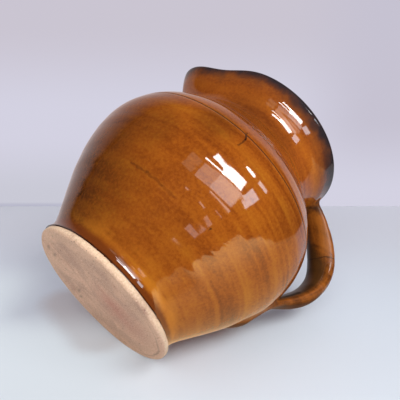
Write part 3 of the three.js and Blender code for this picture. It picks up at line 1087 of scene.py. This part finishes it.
tree, _, here = sheet("back_wall", [
    (-stage_side, table_far, 0), (stage_side, table_far, 0),
    (stage_side, table_far, wall_top), (-stage_side, table_far, wall_top),
])
ray = add_node(tree, "ShaderNodeLightPath")
aside = along_room(here, view_right)
above = along_room(here, room_up)
# To glossy rays the wall is a painted glow, fading at its ends and top, which the glaze shows as painted
# sheen
bright = product(map_range(aside, -0.65, -0.48), map_range(above, 0.62, 0.10))
bright = product(bright, map_range(aside, 0.45, 0.30))
bright = product(bright, map_range(aside, -0.58, -0.16, 0.72, 1.0))
# To the camera the wall glows with its own colour, painted darker high up, on the right and low on the left
to_right = map_range(aside, 0.08, 0.20)
to_left = map_range(aside, 0.0, -0.16)
colour = tint(wall_colour, wall_high, map_range(above, 0.11, 0.21))
colour = tint(colour, wall_right, to_right, map_range(above, 0.015, 0.11))
colour = tint(colour, wall_corner, to_left, map_range(above, 0.09, 0.01))
# A painted shadow line runs along the foot of the wall, where it meets the table
joint = map_range(above, 0.0055, 0.0015)
colour = tint(colour, wall_foot_shadow, joint, map_range(aside, 0.05, -0.05))
mirrored = glow(tree, wall_glow, bright)
show_front(mix_surfaces(ray["Is Glossy Ray"], glow(tree, colour), mirrored))

# Light
# A tall window behind the camera on the right, a dimmer pane under it, and a pale curtain to its left.
# One soft key stands for the daylight that they give, and the world for the rest of the room.
belly_middle = Vector((0, 0, belly.y))
window_radiance = 24
window_white = (1, 1, 1)
gleam_pink = (1, 0.84, 0.80)
room_light = (0.36, 0.355, 0.38, 1)


def panel(name, azimuth_deg, elevation_deg, lean_deg, distance, width, height, radiance, colour):
    """An even panel of light, turned to the belly. Azimuth goes to the right from the way to the camera."""
    azimuth = math.radians(azimuth_deg)
    elevation = math.radians(elevation_deg)
    level = math.sin(azimuth) * view_right - math.cos(azimuth) * room_ahead
    way = math.cos(elevation) * level + math.sin(elevation) * room_up
    light = bpy.data.lights.new(name, "AREA")
    light.shape = "RECTANGLE"
    light.size = width
    light.size_y = height
    light.energy = radiance * math.pi * width * height
    light.color = colour
    lamp = add_object(name, light)
    side = room_up.cross(way).normalized()
    turn = facing(side, way.cross(side), way) @ Matrix.Rotation(math.radians(lean_deg), 4, "Z")
    lamp.matrix_world = Matrix.Translation(belly_middle + distance * way) @ turn
    return lamp


# These light the jug and aren't mirrored in it
for lamp in (
    panel("daylight", 46, 44, 0, 1.6, 0.5, 0.6, 15.4, (1, 0.985, 0.96)),
    panel("bounce", -62, 28, 0, 1.0, 0.8, 0.6, 0.65, (1, 0.92, 0.82)),
    panel("fill", 0, 38, 0, 1.2, 1.0, 0.6, 3.8, (1, 0.98, 0.98)),
):
    lamp.visible_glossy = False

# These are mirrored in the glaze and give no other light
for lamp in (
    panel("tall_window", 39.5, 36.4, 31, 1.0, 0.240, 0.365, window_radiance, window_white),
    panel("window_top", 35.2, 51.0, 14, 1.0, 0.105, 0.26, window_radiance, window_white),
    panel("side_pane", 21.4, 47.7, 33, 1.0, 0.040, 0.33, window_radiance, window_white),
    panel("lower_pane", 48.2, 17.9, 17, 1.0, 0.32, 0.175, 8.2, (0.82, 0.91, 1)),
    panel("curtain", 22.5, 33.2, 40, 1.0, 0.17, 0.70, 2.7, (1, 0.96, 0.92)),
    panel("curtain_foot", 27.8, 28.0, 38, 1.0, 0.15, 0.40, 2.4, (0.94, 0.97, 1)),
    panel("curtain_top", -5, 53, 42, 1.0, 0.15, 0.20, 0.9, (1, 1, 0.8)),
    panel("curtain_fold", 22.2, 21.0, 39, 1.0, 0.028, 0.40, 4.5, (1, 0.94, 0.92)),
    panel("sill", 7.0, 6.0, 41, 1.0, 0.13, 0.22, 3.0, (1, 0.76, 0.70)),
    panel("low_gleam", 14, 8.8, 28, 1.0, 0.055, 0.16, 2.6, gleam_pink),
    panel("side_gleam", 21.2, 12.2, 31, 1.0, 0.015, 0.145, 2.4, gleam_pink),
    panel("mid_gleam", 9.5, 21.5, 34, 1.0, 0.035, 0.115, 4.0, gleam_pink),
    panel("high_gleam", -3.9, 35.2, 40, 1.0, 0.05, 0.06, 3.2, gleam_pink),
):
    lamp.visible_diffuse = False

world = bpy.data.worlds.new("room")
world.use_nodes = True
bpy.context.scene.world = world
tree = world.node_tree
tree.nodes.clear()
ray = add_node(tree, "ShaderNodeLightPath")
colour = tint(room_light, room_dusk, ray["Is Glossy Ray"])
colour = tint(colour, wall_colour, ray["Is Camera Ray"])
background = add_node(tree, "ShaderNodeBackground", {"Color": colour})[0]
tree.links.new(background, tree.nodes.new("ShaderNodeOutputWorld").inputs[0])
bpy.context.scene.view_settings.view_transform = "Standard"
